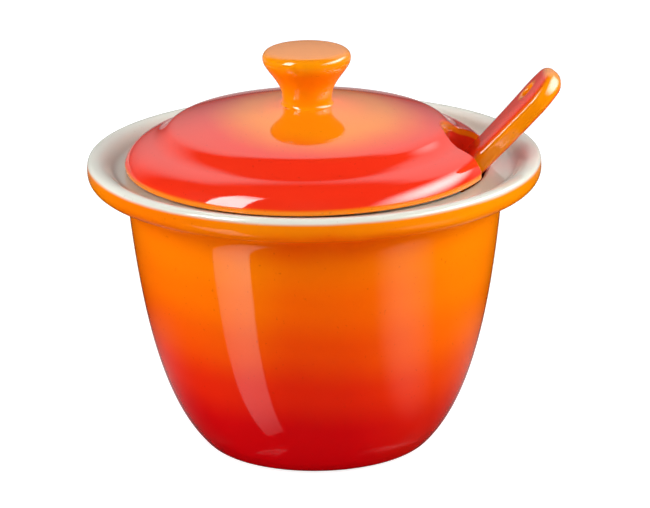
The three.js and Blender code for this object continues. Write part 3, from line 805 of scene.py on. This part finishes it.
# Studio
# A pale tabletop with a white surround, laid out in metres. The table's polish shows
# only in the glaze: there it is dark and mirrors the lamps, as a sheet of black glass
# under them does, with white paper on it behind the pot.
TABLE_SIZE = 8
TABLE_LIT, TABLE_SEEN = (0.80, 0.80, 0.80, 1), (0.5, 0.5, 0.5, 1)
TABLE_LIFT = 0.80
GLASS_BLACK, GLASS_ROUGHNESS = (0.004, 0.004, 0.004, 1), 0.03
GLASS_SHINE = (0.3, 1.3, 0.0, 0.75)
PAPER_EDGE, PAPER_BRIGHTNESS = (0.15, 0.35), (0.7, 1.8, 0.4, 0.1)
PAPER_AT_FOOT, PAPER_FOOT_EDGE = (0.055, 0.11, 0.6, 0.0), (-0.02, 0.03)


def blend(tree, share, first, second):
    """Two finishes in one, by a share of the second."""
    step = tree.nodes.new("ShaderNodeMixShader")
    for value, socket in zip((share, first, second), step.inputs):
        tree.links.new(value, socket)
    return step.outputs[0]


bpy.ops.object.select_all(action="DESELECT")
bpy.ops.mesh.primitive_plane_add(size=TABLE_SIZE)
table = bpy.context.object
table.name = table.data.name = "table_top"
table_finish = bpy.data.materials.new("table_pale")
table_finish.use_nodes = True
tree = table_finish.node_tree
tree.nodes.clear()
rays = tree.nodes.new("ShaderNodeLightPath").outputs
pale = tree.nodes.new("ShaderNodeBsdfDiffuse")
tree.links.new(over(tree, rays["Is Camera Ray"], TABLE_LIT, TABLE_SEEN), pale.inputs["Color"])
lift = tree.nodes.new("ShaderNodeEmission")
tree.links.new(figure(tree, "MULTIPLY", rays["Is Camera Ray"], TABLE_LIFT), lift.inputs["Strength"])
lifted = tree.nodes.new("ShaderNodeAddShader")
tree.links.new(pale.outputs[0], lifted.inputs[0])
tree.links.new(lift.outputs[0], lifted.inputs[1])
axes = axes_of(tree, tree.nodes.new("ShaderNodeTexCoord").outputs["Object"])
glass = tree.nodes.new("ShaderNodeBsdfPrincipled")
glass.inputs["Base Color"].default_value = GLASS_BLACK
glass.inputs["Roughness"].default_value = GLASS_ROUGHNESS
frontward = figure(
    tree, "DIVIDE", figure(tree, "MULTIPLY", axes["Y"], -1.0), figure(tree, "ABSOLUTE", axes["X"]))
tree.links.new(fade(tree, frontward, *GLASS_SHINE), glass.inputs["Specular IOR Level"])
paper = tree.nodes.new("ShaderNodeEmission")
tree.links.new(fade(tree, axes["Y"], *PAPER_BRIGHTNESS), paper.inputs["Strength"])
at_foot = figure(
    tree, "MULTIPLY", fade(tree, from_upright(tree, axes), *PAPER_AT_FOOT),
    fade(tree, axes["Y"], *PAPER_FOOT_EDGE))
papered = figure(tree, "MAXIMUM", at_foot, fade(tree, axes["Y"], *PAPER_EDGE))
mirrored = blend(tree, papered, glass.outputs[0], paper.outputs[0])
finish = blend(tree, rays["Is Glossy Ray"], lifted.outputs[0], mirrored)
tree.links.new(finish, tree.nodes.new("ShaderNodeOutputMaterial").inputs["Surface"])
table.data.materials.append(table_finish)

# The surround is white to the camera. The glaze mirrors it as a backdrop that stands
# behind the pot and grows brighter upwards, and its light falls from low behind.
BACKDROP_FRONT, BACKDROP_TOP = (-0.15, 0.25), (0.78, 0.90, 1.0, 0.0)
BACKDROP_LEFT, BACKDROP_RIGHT = (-1.7, -0.5), (1.0, 2.2, 1.0, 0.0)
BACKDROP_GLOW, BACKDROP_LIGHT = (-0.02, 0.72, 0.12, 1.5), (0.25, 0.60, 0.70, 0.10)
LEAST_BACK = 0.05


def choose(tree, share, first, second):
    """Two values in one, by a share of the second."""
    step = tree.nodes.new("ShaderNodeMix")
    share_socket, first_socket, second_socket = 0, 2, 3
    join(tree, share, step.inputs[share_socket])
    join(tree, first, step.inputs[first_socket])
    join(tree, second, step.inputs[second_socket])
    return step.outputs[0]


world = bpy.data.worlds.new("studio_surround")
bpy.context.scene.world = world
world.use_nodes = True
tree = world.node_tree
tree.nodes.clear()
rays = tree.nodes.new("ShaderNodeLightPath").outputs
axes = axes_of(tree, tree.nodes.new("ShaderNodeTexCoord").outputs["Generated"])
behind = fade(tree, axes["Y"], *BACKDROP_FRONT)
low = fade(tree, axes["Z"], *BACKDROP_TOP)
aside = figure(tree, "DIVIDE", axes["X"], figure(tree, "MAXIMUM", axes["Y"], LEAST_BACK))
middle = figure(tree, "MULTIPLY", fade(tree, aside, *BACKDROP_LEFT), fade(tree, aside, *BACKDROP_RIGHT))
backdrop = figure(tree, "MULTIPLY", figure(tree, "MULTIPLY", behind, middle), low)
mirrored = figure(tree, "MULTIPLY", backdrop, climb(tree, axes["Z"], *BACKDROP_GLOW))
lit = figure(tree, "MULTIPLY", behind, fade(tree, axes["Z"], *BACKDROP_LIGHT))
unseen = choose(tree, rays["Is Glossy Ray"], lit, mirrored)
surround = tree.nodes.new("ShaderNodeBackground")
surround.inputs["Color"].default_value = (1, 1, 1, 1)
tree.links.new(choose(tree, rays["Is Camera Ray"], unseen, 1.0), surround.inputs["Strength"])
tree.links.new(surround.outputs[0], tree.nodes.new("ShaderNodeOutputWorld").inputs["Surface"])
world.cycles.sampling_method = "NONE"

POT_MIDDLE = Vector((0, 0, 0.03))
SOFT_SIZE, SOFT_DISTANCE = 0.6, 0.866
# Each soft lamp has a name, a bearing from the front, a level and a glow.
SOFT_LAMPS = (
    ("lamp_soft_left", -75, 0.44, 6.9),
    ("lamp_soft_right", 75, 0.48, 8.0),
    ("lamp_soft_front", 0, 0.84, 2.7),
)


def hang_lamp(name, shape, size, bearing, distance, level, glow):
    """A lamp hung round the pot's axis; glow is its brightness against white paper."""
    data = bpy.data.lights.new(name, "AREA")
    data.shape = shape
    data.size, data.size_y = size
    area = size[0] * size[1] * (math.pi / 4 if shape == "ELLIPSE" else 1)
    data.energy = glow * math.pi * area
    lamp = bpy.data.objects.new(name, data)
    bpy.context.collection.objects.link(lamp)
    way = math.radians(bearing)
    lamp.location = (math.sin(way) * distance, -math.cos(way) * distance, level)
    lamp.visible_camera = False
    return lamp


def aim(lamp, target):
    """Turns a lamp's face towards a place."""
    lamp.rotation_euler = (target - lamp.location).to_track_quat("-Z", "Y").to_euler()


def shade(lamp):
    """Lets a lamp's brightness change over its face, and gives the place on the face."""
    lamp.data.use_nodes = True
    tree = lamp.data.node_tree
    axes = axes_of(tree, tree.nodes.new("ShaderNodeNewGeometry").outputs["Parametric"])
    return tree, axes, tree.nodes["Emission"].inputs["Strength"]


# Two plain soft lamps light the pot from either side, and a weak one from the front.
for name, bearing, level, glow in SOFT_LAMPS:
    soft_lamp = hang_lamp(name, "SQUARE", (SOFT_SIZE, SOFT_SIZE), bearing, SOFT_DISTANCE, level, glow)
    aim(soft_lamp, POT_MIDDLE)
    soft_lamp.visible_glossy = False

# The glaze mirrors a tall upright softbox on the left, which is dimmer towards its
# top, and a wide one, brightest in its middle, on the right.
TALL_SIZE, TALL_FADE = (0.453, 1.52), (0.4, 1.0, 1.0, 0.4)
WIDE_SIZE, WIDE_FADE = (2.02, 0.64), (0.0, 0.5, 1.0, 0.0)
tall = hang_lamp(
    "lamp_tall_left", "RECTANGLE", TALL_SIZE, bearing=-54.75, distance=1.0, level=1.19, glow=17)
aim(tall, Vector((0, 0, tall.location.z)))
tall.visible_diffuse = False
tree, axes, strength = shade(tall)
tree.links.new(fade(tree, axes["Y"], *TALL_FADE), strength)
wide = hang_lamp(
    "lamp_wide_right", "ELLIPSE", WIDE_SIZE, bearing=88, distance=0.79, level=0.52, glow=16)
aim(wide, POT_MIDDLE)
wide.visible_diffuse = False
tree, axes, strength = shade(wide)
centred = {name: figure(tree, "SUBTRACT", axes[name], 0.5) for name in ("X", "Y")}
tree.links.new(fade(tree, from_upright(tree, centred), *WIDE_FADE), strength)


# Camera
# The camera looks slightly down on the pot from the front through a long lens.
# It is rolled by less than a degree, as in the photograph.
CAMERA_PLACE = Vector((0, -0.9397, 0.3420))
CAMERA_AIM = Vector((0.0022, 0, 0.0446))
CAMERA_ROLL = -0.79
LENS, SENSOR = 234.4, 36
lens = bpy.data.cameras.new("camera_front")
lens.lens = LENS
lens.sensor_width = SENSOR
camera = bpy.data.objects.new("camera_front", lens)
bpy.context.collection.objects.link(camera)
camera.location = CAMERA_PLACE
sight = (CAMERA_AIM - CAMERA_PLACE).to_track_quat("-Z", "Y")
camera.rotation_euler = (sight @ Quaternion((0, 0, 1), math.radians(CAMERA_ROLL))).to_euler()
bpy.context.scene.camera = camera
bpy.context.scene.view_settings.view_transform = "Standard"
